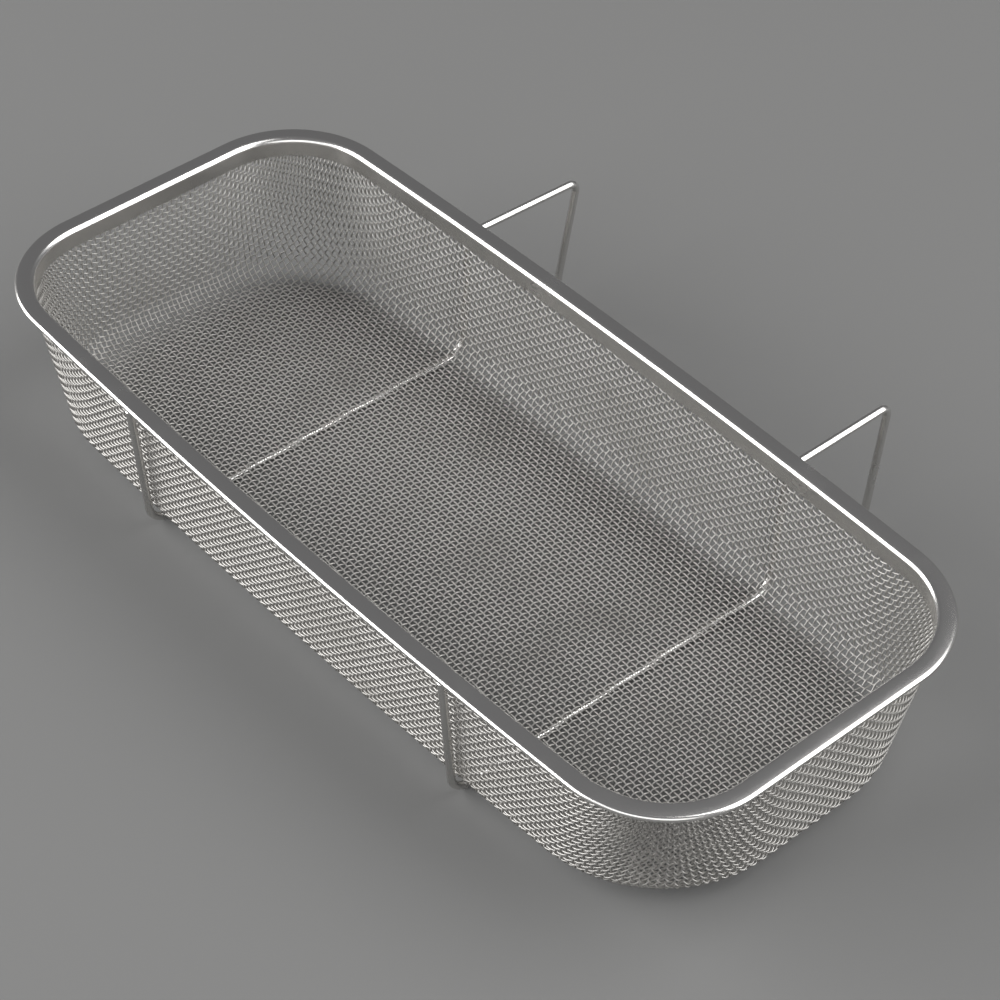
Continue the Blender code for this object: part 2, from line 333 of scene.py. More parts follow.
def rim_outline():
    """Rows of x, y and facing angle round the rim's outermost edge, counterclockwise.

    Half of it is the right end, a corner, the far side and a corner; the other half is the same
    turned by half a turn.
    """
    corner_x = RIM_LENGTH / 2 - RIM_CORNER_RADIUS
    span = RIM_SIDE_RADIUS - RIM_CORNER_RADIUS
    corner_y = math.sqrt(span**2 - corner_x**2) - SIDE_CENTRE
    side_angle = math.asin(corner_x / span)
    straight = np.linspace(-corner_y, corner_y, END_STEPS, endpoint=False)
    end = np.stack([np.full_like(straight, RIM_LENGTH / 2), straight, 0 * straight], axis=1)
    turn = np.linspace(0, math.pi / 2 - side_angle, CORNER_STEPS, endpoint=False)
    corner = arc_points(corner_x, corner_y, RIM_CORNER_RADIUS, turn)
    turn = np.linspace(math.pi / 2 - side_angle, math.pi / 2 + side_angle, SIDE_STEPS, endpoint=False)
    side = arc_points(0.0, -SIDE_CENTRE, RIM_SIDE_RADIUS, turn)
    turn = np.linspace(math.pi / 2 + side_angle, math.pi, CORNER_STEPS, endpoint=False)
    corner_after = arc_points(-corner_x, corner_y, RIM_CORNER_RADIUS, turn)
    half = np.concatenate([end, corner, side, corner_after])
    return np.concatenate([half, half * [-1, -1, 1] + [0, 0, math.pi]])


outline = rim_outline()
print("stations round the rim:", len(outline))

# %% [markdown]
# ## The rim's section
#
# The strip starts as the inner skirt, bends over to the flat top, rolls round at the outer edge
# and folds back underneath, where it grips the cloth.  Towards the hem the flat top bends down in
# a wide, shallow crown, an arc that is tangent to the flat and to the hem: with w its width and d
# its drop, its radius is the hem's plus (w^2 + d^2) / 2d.  The section has an outer skin and an
# inner skin one strip thickness apart.

# %% Section
EDGE_ROUND = 0.12 * MM
FLAT_MARGIN = 0.1 * MM
SKIRT_STEPS = 8
CROWN_STEPS = 8
HEM_STEPS = 18
INNER_HEM_STEPS = 10
INNER_STEPS = 6


def bend(centre, radius, start, end, steps):
    """Arc of a section: centre + radius * (cos, sin) of angles from start to end, in degrees."""
    angles = np.radians(np.linspace(start, end, steps + 1))
    inset = centre[0] + radius * np.cos(angles)
    height = centre[1] + radius * np.sin(angles)
    return np.stack([inset, height], axis=1)


def strip_section():
    """Closed section of the folded strip as rows of inset and height, the outer skin first."""
    skirt_centre = (RIM_TOP_WIDTH - SKIRT_BEND_RADIUS, -SKIRT_BEND_RADIUS)
    hem_radius = (HEM_HEIGHT - CROWN_DROP) / 2
    hem_centre = (hem_radius, -CROWN_DROP - hem_radius)
    beyond_hem = (CROWN_WIDTH**2 + CROWN_DROP**2) / (2 * CROWN_DROP)
    crown_radius = hem_radius + beyond_hem
    crown_centre = (hem_radius + CROWN_WIDTH, -crown_radius)
    crown_end = 90 + math.degrees(math.asin(CROWN_WIDTH / beyond_hem))
    outer = np.concatenate([
        [[RIM_TOP_WIDTH - EDGE_ROUND, -SKIRT_HEIGHT]],
        [[RIM_TOP_WIDTH, -SKIRT_HEIGHT + EDGE_ROUND]],
        [[RIM_TOP_WIDTH, -SKIRT_HEIGHT + 2 * EDGE_ROUND]],
        [[RIM_TOP_WIDTH, -SKIRT_BEND_RADIUS - FLAT_MARGIN]],
        bend(skirt_centre, SKIRT_BEND_RADIUS, 0, 90, SKIRT_STEPS),
        [[RIM_TOP_WIDTH - SKIRT_BEND_RADIUS - FLAT_MARGIN, 0.0]],
        bend(crown_centre, crown_radius, 90, crown_end, CROWN_STEPS),
        bend(hem_centre, hem_radius, crown_end, 270, HEM_STEPS)[1:],
        [[HEM_RETURN_WIDTH - EDGE_ROUND, -HEM_HEIGHT]],
        [[HEM_RETURN_WIDTH, -HEM_HEIGHT + EDGE_ROUND]],
    ])
    inner = np.concatenate([
        [[HEM_RETURN_WIDTH, -HEM_HEIGHT + STRIP_THICKNESS]],
        bend(hem_centre, hem_radius - STRIP_THICKNESS, 270, crown_end, INNER_HEM_STEPS),
        bend(crown_centre, crown_radius - STRIP_THICKNESS, crown_end, 90, INNER_STEPS)[1:],
        bend(skirt_centre, SKIRT_BEND_RADIUS - STRIP_THICKNESS, 90, 0, INNER_STEPS),
        [[RIM_TOP_WIDTH - STRIP_THICKNESS, -SKIRT_HEIGHT]],
    ])
    return np.concatenate([outer, inner])


section = strip_section()
print("points in the section:", len(section))

# %% [markdown]
# ## The rim
#
# The section is carried round the outline.  The strip's two ends meet near the right end of the
# near side, where the butt weld leaves a small step and a shallow dip, so the sweep starts and
# ends there and the outline is pushed in by a fraction of a millimetre on one side of it.

# %% Rim
JOINT_PLACE = np.array([127.0, -62.0]) * MM
JOINT_DIP = 0.12 * MM
JOINT_STEP = 0.10 * MM
JOINT_REACH = 5.0 * MM
JOINT_FADE = 4 * JOINT_REACH
RIM_CREASE = math.radians(50)


def sweep_rim():
    """Point = outline point - facing direction * (inset + dent), at the section's height.

    The dent is the dip, a bell curve of the way to the joint on both sides, plus the step, which
    fades out on one side.
    """
    start = np.argmin(np.hypot(*(outline[:, :2] - JOINT_PLACE).T))
    path = np.roll(outline, -start, axis=0)
    steps = np.hypot(*(np.roll(path, -1, axis=0) - path)[:, :2].T)
    along = np.concatenate([[0.0], np.cumsum(steps)])
    facing = np.stack([np.cos(path[:, 2]), np.sin(path[:, 2])], axis=1)
    after = along[:-1]
    before = along[-1] - after
    dent = JOINT_DIP * (np.exp(-(after / JOINT_REACH) ** 2) + np.exp(-(before / JOINT_REACH) ** 2))
    dent = dent + JOINT_STEP * np.exp(-after / JOINT_FADE)
    centre = path[:, None, :2] - facing[:, None, :] * (section[None, :, :1] + dent[:, None, None])
    height = np.broadcast_to(section[None, :, 1:], centre.shape[:2] + (1,))
    points = np.concatenate([centre, height], axis=2).reshape(-1, 3)
    rows, columns = len(path), len(section)
    skin = np.roll(section, -1, axis=0) - section
    across = np.concatenate([[0.0], np.cumsum(np.hypot(*skin.T))])
    faces = grid_faces(rows, columns, ring=True)
    return make_piece("folded_rim", points, [faces], grid_map(along, across, rows, columns))


folded_rim = sweep_rim()
folded_rim.data.set_sharp_from_angle(angle=RIM_CREASE)
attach(folded_rim, "root")
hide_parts("rim_band")
print("rim faces:", len(folded_rim.data.polygons))

# %% [markdown]
# ## The hook rods
#
# Each rod is one length of wire: up under the near rim, along the underside of the floor, up the
# far wall, out over the sink's edge and down.  Its centre line lies in one upright plane, so it
# is a chain of straight runs and arcs in (y, z), and a circle is carried along it.

# %% Rod sizes
ROD_BEND_RADIUS = 7.0 * MM
HOOK_BEND_RADIUS = 3.0 * MM
HOOK_LEG_LENGTH = 41.0 * MM
NEAR_LEG_OUTSET = 1.5 * MM
WALL_CLEARANCE = 0.55 * MM
ROD_TO_HEM_CLEARANCE = 0.3 * MM
LEAN_STARTS_BELOW = 6.8 * MM  # below the rim's top face
FLOOR_ROD_HEIGHT = -49.35 * MM
ROD_SPACING = 137.4 * MM
LEFT_HOOK = {"reach": 41.4 * MM, "bar_slope": math.radians(2.4), "leg_lean": math.radians(10.7)}
RIGHT_HOOK = {"reach": 37.6 * MM, "bar_slope": 0.0, "leg_lean": math.radians(6.2)}
print("reach of the hooks, mm:", [round(hook["reach"] / MM, 1) for hook in (LEFT_HOOK, RIGHT_HOOK)])

# %% Rounded corners
BEND_STEPS = 16


def rounded_line(corners, radii):
    """Straight runs between corners, each corner replaced by an arc that is tangent to both runs.

    The arc's centre lies on the line that halves the corner, radius / sin(half the opening) away.
    """
    corners = np.array(corners)
    pieces = [corners[:1]]
    for before, corner, after, radius in zip(corners, corners[1:], corners[2:], radii):
        towards = (before - corner) / np.linalg.norm(before - corner)
        away = (after - corner) / np.linalg.norm(after - corner)
        opening = math.acos(towards @ away)
        middle = (towards + away) / np.linalg.norm(towards + away)
        centre = corner + middle * radius / math.sin(opening / 2)
        first = corner + towards * radius / math.tan(opening / 2) - centre
        last = corner + away * radius / math.tan(opening / 2) - centre
        sweep = math.pi - opening
        share = np.linspace(0, 1, BEND_STEPS + 1)[:, None]
        arc = (first * np.sin(sweep * (1 - share)) + last * np.sin(sweep * share)) / math.sin(sweep)
        pieces.append(centre + arc)
    pieces.append(corners[-1:])
    return np.concatenate(pieces)


print("points of a rounded right angle:", len(rounded_line([(0, 0), (1, 0), (1, 1)], [0.2])))

# %% Rod centre line
def side_at(inset, x):
    """Half width at x, a given inset inside the rim: sqrt(radius^2 - x^2) less the centre's distance."""
    radius = RIM_SIDE_RADIUS - inset
    return math.sqrt(radius**2 - x**2) - SIDE_CENTRE


def rod_line(x, hook):
    """Centre line of one rod as rows of y and z.

    On both walls y = collar's y + (height + LEAN_STARTS_BELOW) * tan(draft), so the rod comes
    nearer to the middle the lower it is.
    """
    lean = math.tan(WALL_DRAFT)
    collar_y = side_at(WALL_INSET, x) + WALL_CLEARANCE + ROD_DIAMETER / 2
    top = -HEM_HEIGHT - ROD_TO_HEM_CLEARANCE
    bar = top - ROD_DIAMETER / 2
    foot_y = collar_y + (LEAN_STARTS_BELOW + FLOOR_ROD_HEIGHT) * lean
    bar_y = collar_y + (LEAN_STARTS_BELOW + bar) * lean
    hook_y = side_at(0.0, x) + hook["reach"]
    hook_z = bar - (hook_y - bar_y) * math.tan(hook["bar_slope"])
    near_y = collar_y + (LEAN_STARTS_BELOW + top) * lean + NEAR_LEG_OUTSET
    corners = [
        (-near_y, top + ROD_TO_HEM_CLEARANCE / 2),
        (-foot_y, FLOOR_ROD_HEIGHT),
        (foot_y, FLOOR_ROD_HEIGHT),
        (bar_y, bar),
        (hook_y, hook_z),
        (hook_y - HOOK_LEG_LENGTH * math.sin(hook["leg_lean"]),
         hook_z - HOOK_LEG_LENGTH * math.cos(hook["leg_lean"])),
    ]
    radii = (ROD_BEND_RADIUS, ROD_BEND_RADIUS, HOOK_BEND_RADIUS, HOOK_BEND_RADIUS)
    return rounded_line(corners, radii)


left_line = rod_line(-ROD_SPACING / 2, LEFT_HOOK)
left_length = np.linalg.norm(np.diff(left_line, axis=0), axis=1).sum()
print("left rod's length, mm:", round(float(left_length) / MM, 1))

# %% Stations along a rod
ROD_STEP = 4.0 * MM
TIP_ROUNDING = 0.35 * MM


def refine(line):
    """The line with points added on long straight runs, and each point's distance along it."""
    steps = np.linalg.norm(np.diff(line, axis=0), axis=1)
    along = np.concatenate([[0.0], np.cumsum(steps)])
    count = np.maximum(np.ceil(steps / ROD_STEP).astype(int), 1)
    start = np.repeat(along[:-1], count)
    step = np.repeat(steps / count, count)
    order = np.arange(count.sum()) - np.repeat(np.cumsum(count) - count, count)
    places = np.concatenate([start + step * order, along[-1:]])
    return np.stack([np.interp(places, along, line[:, axis]) for axis in (0, 1)], axis=1), places


def rod_stations(line):
    """Centre points, run directions, radii and distances along one rod.

    A ring is added just inside each end, and the end's own ring is made smaller by the same
    amount, so both cut ends are rounded: the hidden one by half as much as the tip.
    """
    line, along = refine(line)
    run = np.gradient(line, along, axis=0)
    run = run / np.linalg.norm(run, axis=1)[:, None]
    start, tip = TIP_ROUNDING / 2, TIP_ROUNDING
    inner = (line[:1] + run[:1] * start, line[1:-1], line[-1:] - run[-1:] * tip)
    centre = np.concatenate([line[:1], *inner, line[-1:]])
    radius = np.full(len(centre), ROD_DIAMETER / 2)
    radius[0] -= start
    radius[-1] -= tip
    run = np.concatenate([run[:1], run, run[-1:]])
    along = np.concatenate([along[:1], along[:1] + start, along[1:-1], along[-1:] - tip, along[-1:]])
    return centre, run, radius, along


print("rings on the left rod:", len(rod_stations(left_line)[0]))

# %% Rods
ROD_SIDES = 24
ROD_CREASE = math.radians(40)


def make_rod(name, x, hook, node):
    """Circle carried along the centre line: point = centre + radius * (cos * sideways + sin * up)."""
    line, run, radius, along = rod_stations(rod_line(x, hook))
    turn = 2 * math.pi * np.arange(ROD_SIDES) / ROD_SIDES
    up = np.stack([-run[:, 1], run[:, 0]], axis=1)
    place_x = x + radius[:, None] * np.cos(turn)
    place_yz = line[:, None, :] + (radius[:, None] * np.sin(turn))[..., None] * up[:, None, :]
    points = np.concatenate([place_x[..., None], place_yz], axis=2).reshape(-1, 3)
    rows = len(line)
    across = np.linspace(0, math.pi * ROD_DIAMETER, ROD_SIDES + 1)
    sides = grid_faces(rows, ROD_SIDES, ring=False)[:, ::-1]
    side_map = grid_map(along, across, rows - 1, ROD_SIDES).reshape(-1, 4, 2)[:, ::-1].reshape(-1, 2)
    ring = np.arange(ROD_SIDES)
    caps = np.stack([ring, (rows - 1) * ROD_SIDES + ring[::-1]])
    cap_map = np.zeros((2 * ROD_SIDES, 2))
    rod = make_piece(name, points, [sides, caps], np.concatenate([side_map, cap_map]))
    rod.data.set_sharp_from_angle(angle=ROD_CREASE)
    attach(rod, "root")
    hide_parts(node)
    return rod


rods = [
    make_rod("left_rod", -ROD_SPACING / 2, LEFT_HOOK, "hook_wire_left"),
    make_rod("right_rod", ROD_SPACING / 2, RIGHT_HOOK, "hook_wire_right"),
]
print("rod faces:", [len(rod.data.polygons) for rod in rods])

# %% [markdown]
# ## The form that the cloth is drawn to
#
# A press pushes flat cloth into a tray.  Going outwards from the floor's edge, the cloth turns
# up in a round fillet, climbs the leaning wall, stands upright behind the rim's skirt and bends
# out into the flange.  A single length, counted along the cloth from the floor's edge, says
# where on this path a point is.

# %% Wall profile
UPRIGHT_TURN = math.pi / 2 - WALL_DRAFT
FILLET_REACH = FLOOR_FILLET_RADIUS * math.sin(UPRIGHT_TURN)
FILLET_RISE = FLOOR_FILLET_RADIUS * (1 - math.cos(UPRIGHT_TURN))
FOOT_HEIGHT = -FLOOR_DEPTH + FILLET_RISE
FOOT_INSET = WALL_INSET + (COLLAR_HEIGHT - FOOT_HEIGHT) * math.tan(WALL_DRAFT)
FLOOR_INSET = FOOT_INSET + FILLET_REACH
BEND_HEIGHT = FLANGE_HEIGHT - FLANGE_BEND_RADIUS

FILLET_END = FLOOR_FILLET_RADIUS * UPRIGHT_TURN
WALL_END = FILLET_END + (COLLAR_HEIGHT - FOOT_HEIGHT) / math.cos(WALL_DRAFT)
COLLAR_END = WALL_END + BEND_HEIGHT - COLLAR_HEIGHT
BEND_END = COLLAR_END + FLANGE_BEND_RADIUS * math.pi / 2
CLOTH_END = BEND_END + WALL_INSET - FLANGE_BEND_RADIUS - FLANGE_EDGE_INSET


def wall_profile(length):
    """Inset, height, corner radius, rise and spread of the cloth at a length up the wall.

    Each part of the path adds (way out, way up): the fillet radius * (sin, 1 - cos) of the angle
    turned, the wall its length * (sin, cos) of the draft, the collar (0, its length), and the
    flange's bend radius * (1 - cos, sin).  Rise and spread are how much the height grows and the
    inset shrinks per length: the cosine and sine of the cloth's slope.
    """
    turned = np.clip(length / FLOOR_FILLET_RADIUS, 0, UPRIGHT_TURN)
    inset = FLOOR_INSET - FLOOR_FILLET_RADIUS * np.sin(turned)
    height = -FLOOR_DEPTH + FLOOR_FILLET_RADIUS * (1 - np.cos(turned))
    up_wall = np.clip(length - FILLET_END, 0, WALL_END - FILLET_END)
    inset = inset - up_wall * math.sin(WALL_DRAFT)
    height = height + up_wall * math.cos(WALL_DRAFT)
    foot_radius = FLOOR_CORNER_RADIUS + FLOOR_FILLET_RADIUS * np.sin(turned)
    share = up_wall / (WALL_END - FILLET_END)
    corner = foot_radius + (RIM_CORNER_RADIUS - WALL_INSET - foot_radius) * share
    height = height + np.clip(length - WALL_END, 0, COLLAR_END - WALL_END)
    bent = np.clip((length - COLLAR_END) / FLANGE_BEND_RADIUS, 0, math.pi / 2)
    out = FLANGE_BEND_RADIUS * (1 - np.cos(bent)) + np.maximum(length - BEND_END, 0)
    inset = inset - out
    corner = corner + out
    height = height + FLANGE_BEND_RADIUS * np.sin(bent)
    slope = np.where(length < FILLET_END, math.pi / 2 - turned, WALL_DRAFT)
    slope = np.where(length > WALL_END, bent, slope)
    return inset, height, corner, np.cos(slope), np.sin(slope)


print("cloth from floor edge to flange edge, mm:", round(CLOTH_END / MM, 2))

# %% [markdown]
# ## Laying the flat cloth on the form
#
# Round the straight stretches the cloth only folds up.  At a corner there is too much of it: the
# square meshes shear into diamonds, which get narrower round the corner and longer up the wall.
# The formula below takes a point of the flat cloth to its place on the tray.  A point inside the
# floor's outline stays.  Outside, its distance from the outline becomes a length up the wall,
# and its place along the outline is squeezed into the shorter way round the corner.  The press
# also drags the cloth a little sideways, so the wires lean, and it stretches the far wall more
# than the near one.  Both were read from the rows of the weave in the photo.

# %% Flat place to outline
FLOOR_RADIUS = RIM_SIDE_RADIUS - FLOOR_INSET
FLOOR_CORNER_X = RIM_LENGTH / 2 - FLOOR_INSET - FLOOR_CORNER_RADIUS
FLOOR_SPAN = FLOOR_RADIUS - FLOOR_CORNER_RADIUS
FLOOR_CORNER_Y = math.sqrt(FLOOR_SPAN**2 - FLOOR_CORNER_X**2) - SIDE_CENTRE
FLOOR_SIDE_ANGLE = math.asin(FLOOR_CORNER_X / FLOOR_SPAN)
CORNER_ARC = (math.pi / 2 - FLOOR_SIDE_ANGLE) * FLOOR_CORNER_RADIUS


def flat_to_outline(x, y):
    """Distance outside the floor's outline, and place along it, for flat points with x, y >= 0.

    The place is zero where the side meets the corner arc, and grows round the corner.
    """
    side_angle = np.arctan2(x, y + SIDE_CENTRE)
    on_side = side_angle <= FLOOR_SIDE_ANGLE
    on_end = ~on_side & (y <= FLOOR_CORNER_Y)
    corner_angle = np.arctan2(x - FLOOR_CORNER_X, y - FLOOR_CORNER_Y)
    outside = np.hypot(x - FLOOR_CORNER_X, y - FLOOR_CORNER_Y) - FLOOR_CORNER_RADIUS
    outside = np.where(on_side, np.hypot(x, y + SIDE_CENTRE) - FLOOR_RADIUS, outside)
    outside = np.where(on_end, x - (RIM_LENGTH / 2 - FLOOR_INSET), outside)
    place = (corner_angle - FLOOR_SIDE_ANGLE) * FLOOR_CORNER_RADIUS
    place = np.where(on_side, (side_angle - FLOOR_SIDE_ANGLE) * FLOOR_RADIUS, place)
    place = np.where(on_end, CORNER_ARC + FLOOR_CORNER_Y - y, place)
    return outside, place


print("floor's corner centre, mm:", round(FLOOR_CORNER_X / MM, 2), round(FLOOR_CORNER_Y / MM, 2))

# %% Outline to plan
def outline_to_plan(place, outside, inset, corner, lean):
    """Plan point and facing direction on a level's outline, for a place along the floor's outline.

    Round the corner, flat length is squeezed into the level's own length, most of all halfway
    round.  The squeeze is the integral of a smooth bump: t^3 - t^4 / 2 on the way in, and the
    same curve backwards on the way out.
    """
    spread = 1 + outside / FLOOR_CORNER_RADIUS
    flat = np.clip(place, 0, CORNER_ARC) * spread
    flat = flat + np.minimum(place, 0) + np.maximum(place - CORNER_ARC, 0) - lean
    flat_total = CORNER_ARC * spread
    side_radius = RIM_SIDE_RADIUS - inset
    centre_x = RIM_LENGTH / 2 - inset - corner
    centre_y = np.sqrt((side_radius - corner) ** 2 - centre_x**2) - SIDE_CENTRE
    meet_angle = np.arcsin(centre_x / (side_radius - corner))
    side_part = side_radius * (meet_angle - FLOOR_SIDE_ANGLE)
    arc_part = corner * (math.pi / 2 - meet_angle)
    end_part = centre_y - FLOOR_CORNER_Y
    level_total = side_part + arc_part + end_part
    way_in = np.clip(2 * flat / flat_total, 0, 1)
    way_out = np.clip(2 * flat / flat_total - 1, 0, 1)
    squeezed = way_in**3 - way_in**4 / 2 + way_out - way_out**3 + way_out**4 / 2
    run = flat - (flat_total - level_total) * squeezed
    run = np.where(flat < 0, flat * side_radius / FLOOR_RADIUS, run)

    side_turn = FLOOR_SIDE_ANGLE + np.minimum(run, side_part) / side_radius
    arc_turn = meet_angle + np.clip(run - side_part, 0, arc_part) / corner
    on_side = run < side_part
    turn = np.where(on_side, side_turn, arc_turn)
    x = np.where(on_side, side_radius * np.sin(turn), centre_x + corner * np.sin(turn))
    y = np.where(on_side, side_radius * np.cos(turn) - SIDE_CENTRE, centre_y + corner * np.cos(turn))
    y = y - np.maximum(run - side_part - arc_part, 0)
    return x, y, np.sin(turn), np.cos(turn)


print("cloth round one corner of the floor, mm:", round(CORNER_ARC / MM, 2))

# %% Drape
CORNER_STRETCH = 0.30
FAR_WALL_STRETCH = 0.075
RIGHT_WALL_STRETCH = 0.025
WALL_LEAN = 0.08
WALL_LEAN_SWING = 0.09


def drape(x, y):
    """Place, outward direction and length up the wall for points of the flat cloth.

    Length = distance outside the floor's outline * wall stretch * corner stretch.  The wall
    stretch grows towards the far and right sides, and the corner stretch is 1 plus a share of
    sin^2 of the way round the corner.  The sideways lean is a share of the length that swings
    with the way the wall faces.  One quarter is worked out and mirrored to the other three.
    """
    flip_x, flip_y = np.where(x < 0, -1.0, 1.0), np.where(y < 0, -1.0, 1.0)
    outside, place = flat_to_outline(np.abs(x), np.abs(y))
    on_floor = outside <= 0
    round_corner = np.clip(place / CORNER_ARC, 0, 1)
    faces_right = flip_x * np.sin(math.pi / 2 * round_corner)
    faces_far = flip_y * np.cos(math.pi / 2 * round_corner)
    wall_stretch = 1 + FAR_WALL_STRETCH * faces_far + RIGHT_WALL_STRETCH * faces_right
    stretch = 1 + CORNER_STRETCH * np.sin(math.pi * round_corner) ** 2
    length = np.maximum(outside, 0) * wall_stretch * stretch
    lean = WALL_LEAN + WALL_LEAN_SWING * (faces_right - faces_far) / math.sqrt(2)
    lean = lean * length * flip_x * flip_y
    inset, height, corner, rise, spread = wall_profile(length)
    plan_x, plan_y, face_x, face_y = outline_to_plan(
        place, np.maximum(outside, 0), inset, corner, lean)
    plan_x = np.where(on_floor, np.abs(x), plan_x)
    plan_y = np.where(on_floor, np.abs(y), plan_y)
    points = np.stack([plan_x * flip_x, plan_y * flip_y, height], axis=-1)
    outward = np.stack([face_x * rise * flip_x, face_y * rise * flip_y, -spread], axis=-1)
    outward = np.where(on_floor[..., None], [0.0, 0.0, -1.0], outward)
    return points, outward, length


top_place, _, top_length = drape(np.zeros(1), np.full(1, RIM_WIDTH / 2))
print("flat cloth half a rim's width out, mm:", (top_place / MM).round(2), (top_length / MM).round(2))

# %% [markdown]
# ## Weaving the wires
#
# In plain weave each wire goes over one crossing wire and under the next, and its centre line is
# a cosine.  The crossing family has the opposite sign at the same crossings.  The two heights
# add up to about one wire, so the wires just touch, but they aren't alike: the loom keeps the
# long wires nearly straight, and the cross wires bend round them.  A flat picture of a weave
# would look right from one side only, so every wire is real here: a five-sided tube with three
# rings from crossing to crossing.

# %% Laying the wires
RINGS_PER_CROSSING = 3


def lay_wires(along_half, across_half, lengthwise):
    """Centre points, outward and run directions and lengths of one family of wires.

    Row n is wire n.  Flat place = along * (cos, sin) of the cloth's turn + across * (-sin, cos).
    The place on the tray is then moved outwards by crimp height * cos(pi * along / pitch), with
    a sign that changes from wire to wire and between the families.
    """
    half_wires = round(across_half / CLOTH_PITCH)
    half_rings = RINGS_PER_CROSSING * round(along_half / CLOTH_PITCH)
    wires = np.arange(-half_wires, half_wires + 1)
    rings = np.arange(-half_rings, half_rings + 1)
    along, across = np.meshgrid(rings * CLOTH_PITCH / RINGS_PER_CROSSING, wires * CLOTH_PITCH)
    number = np.broadcast_to(wires[:, None], along.shape)
    u, v = (along, across) if lengthwise else (across, along)
    x = u * math.cos(CLOTH_TURN) - v * math.sin(CLOTH_TURN)
    y = u * math.sin(CLOTH_TURN) + v * math.cos(CLOTH_TURN)
    points, outward, length = drape(x, y)
    family = 1.0 if lengthwise else -1.0
    wave = family * np.cos(math.pi * along / CLOTH_PITCH) * np.where(number % 2 == 0, 1.0, -1.0)
    crimp = LONG_CRIMP_HEIGHT if lengthwise else CROSS_CRIMP_HEIGHT
    points = points + outward * (wave * crimp)[..., None]
    run = np.gradient(points, axis=1)
    run = run / np.linalg.norm(run, axis=2)[..., None]
    return points, outward, run, length, along, number


print("pitch and crimp heights, mm:", CLOTH_PITCH / MM, LONG_CRIMP_HEIGHT / MM, CROSS_CRIMP_HEIGHT / MM)

# %% Tubes round the wires
CLOTH_WIRE_SIDES = 5


def wire_tubes(name, points, outward, run, length, along, number):
    """Tubes round the stretches of wire that lie on the tray, with both ends of each closed.

    Ring = centre + radius * (cos * up + sin * side), with side and up at right angles to the run.
    """
    kept = length <= CLOTH_END
    side = np.cross(run, outward)
    side = side / np.linalg.norm(side, axis=2)[..., None]
    up = np.cross(side, run)
    turn = 2 * math.pi * np.arange(CLOTH_WIRE_SIDES) / CLOTH_WIRE_SIDES
    radius = CLOTH_WIRE_DIAMETER / 2
    cosine, sine = np.cos(turn)[:, None], np.sin(turn)[:, None]
    circle = radius * (cosine * up[kept][:, None] + sine * side[kept][:, None])
    tube_points = (points[kept][:, None] + circle).reshape(-1, 3)

    first = np.full(kept.shape, -1)
    first[kept] = np.arange(kept.sum()) * CLOTH_WIRE_SIDES
    joined = kept[:, :-1] & kept[:, 1:]
    low, high = first[:, :-1][joined][:, None], first[:, 1:][joined][:, None]
    corner = np.arange(CLOTH_WIRE_SIDES)
    beside = (corner + 1) % CLOTH_WIRE_SIDES
    sides = np.stack([low + corner, low + beside, high + beside, high + corner], axis=-1)
    starts = kept & ~np.pad(kept, ((0, 0), (1, 0)))[:, :-1]
    ends = kept & ~np.pad(kept, ((0, 0), (0, 1)))[:, 1:]
    start_caps = first[starts][:, None] + corner[::-1]
    end_caps = first[ends][:, None] + corner

    low_along = np.broadcast_to(along[:, :-1][joined][:, None], sides.shape[:2])
    high_along = np.broadcast_to(along[:, 1:][joined][:, None], sides.shape[:2])
    wire = np.broadcast_to(number[:, :-1][joined][:, None], sides.shape[:2]) * CLOTH_PITCH
    face_along = np.stack([low_along, low_along, high_along, high_along], axis=2)
    face_wire = np.broadcast_to(wire[..., None], face_along.shape)
    side_map = np.stack([face_along, face_wire], axis=-1).reshape(-1, 2)
    cap_map = np.zeros((start_caps.size + end_caps.size, 2))
    faces = [sides.reshape(-1, 4), start_caps, end_caps]
    return make_piece(name, tube_points, faces, np.concatenate([side_map, cap_map]))


print("wire, mm:", CLOTH_WIRE_DIAMETER / MM, "with", CLOTH_WIRE_SIDES, "sides")

# %% Weave both families
PIECES_PER_FAMILY = 6
CLOTH_MARGIN = 72.0 * MM  # flat cloth beyond the rim, enough for every wall although it is turned


def weave(name, lengthwise):
    """One family of wires, split into pieces of about equal wire length."""
    half_length = RIM_LENGTH / 2 + CLOTH_MARGIN
    half_width = RIM_WIDTH / 2 + CLOTH_MARGIN
    sizes = (half_length, half_width) if lengthwise else (half_width, half_length)
    points, outward, run, length, along, number = lay_wires(*sizes, lengthwise)
    on_cloth = np.cumsum((length <= CLOTH_END).sum(axis=1))
    marks = on_cloth[-1] * np.arange(PIECES_PER_FAMILY + 1) / PIECES_PER_FAMILY
    cuts = np.searchsorted(on_cloth, marks)
    cuts[0], cuts[-1] = 0, len(on_cloth)
    pieces = []
    for k, (low, high) in enumerate(zip(cuts, cuts[1:])):
        part = [array[low:high] for array in (points, outward, run, length, along, number)]
        piece = wire_tubes(f"{name}_{k + 1}", *part)
        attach(piece, "root")
        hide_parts("mesh_basket")
        pieces.append(piece)
    return pieces


long_wires = weave("long_cloth_wires", lengthwise=True)
cross_wires = weave("cross_cloth_wires", lengthwise=False)
cloth = long_wires + cross_wires
print("cloth faces:", [len(piece.data.polygons) for piece in cloth])

# %% [markdown]
# ## Marks that every steel piece shares
#
# Rolled strip and drawn wire carry fine lines that run along the steel, and handling leaves soft
# smudges.  Both are node groups, built once, that read the flat map or the place in the part and
# give values between 0 and 1.  Each material sets its own scale and strength.

